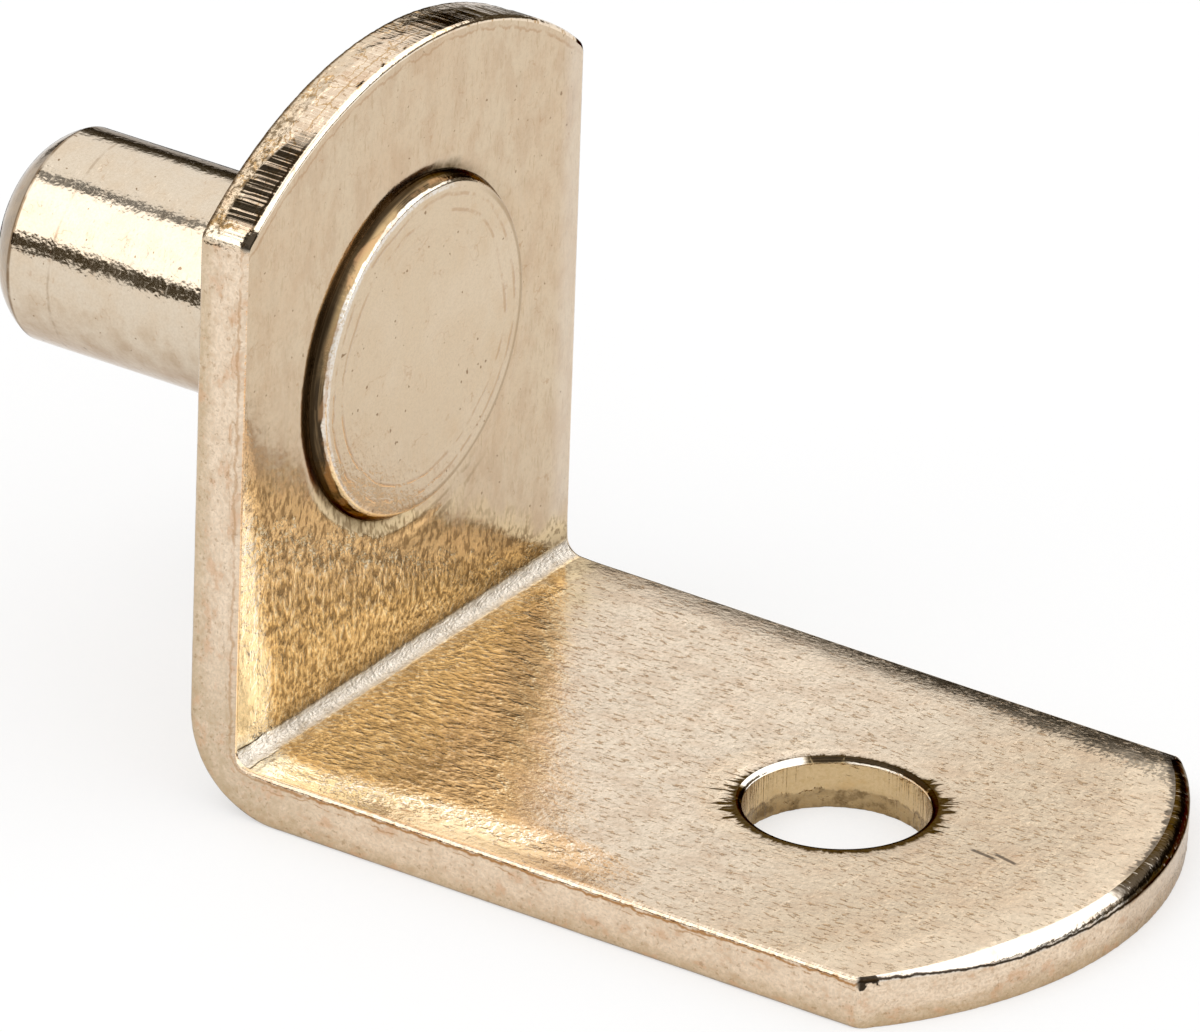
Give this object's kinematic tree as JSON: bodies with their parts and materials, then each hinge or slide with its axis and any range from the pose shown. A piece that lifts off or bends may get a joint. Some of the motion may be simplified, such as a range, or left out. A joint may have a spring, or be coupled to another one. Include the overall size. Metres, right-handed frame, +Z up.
{
  "type": "shelf support pin",
  "caption": "L-shaped steel shelf support: a folded strip with round crowns, a screw hole in the seat leg, and a 5 mm pin riveted through the upright leg.",
  "frame": {"origin": "on the pin's axis, at the bracket's back face, which seats on the cabinet side", "axes": "+Y along the pin to its free end, -Y towards the tip of the seat leg that carries the shelf, +Z up, X across the strip's width"},
  "size_m": [0.0132, 0.0291, 0.0164],
  "materials": {
    "strip_plating": "steel strip under thin pale brass plating, satin, with rolled grain and bright sheared ends",
    "pin_plating": "turned steel under thin pale brass plating, polished"
  },
  "bodies": {
    "root": {"bracket": "strip_plating", "pin": "pin_plating"}
  },
  "joints": []
}
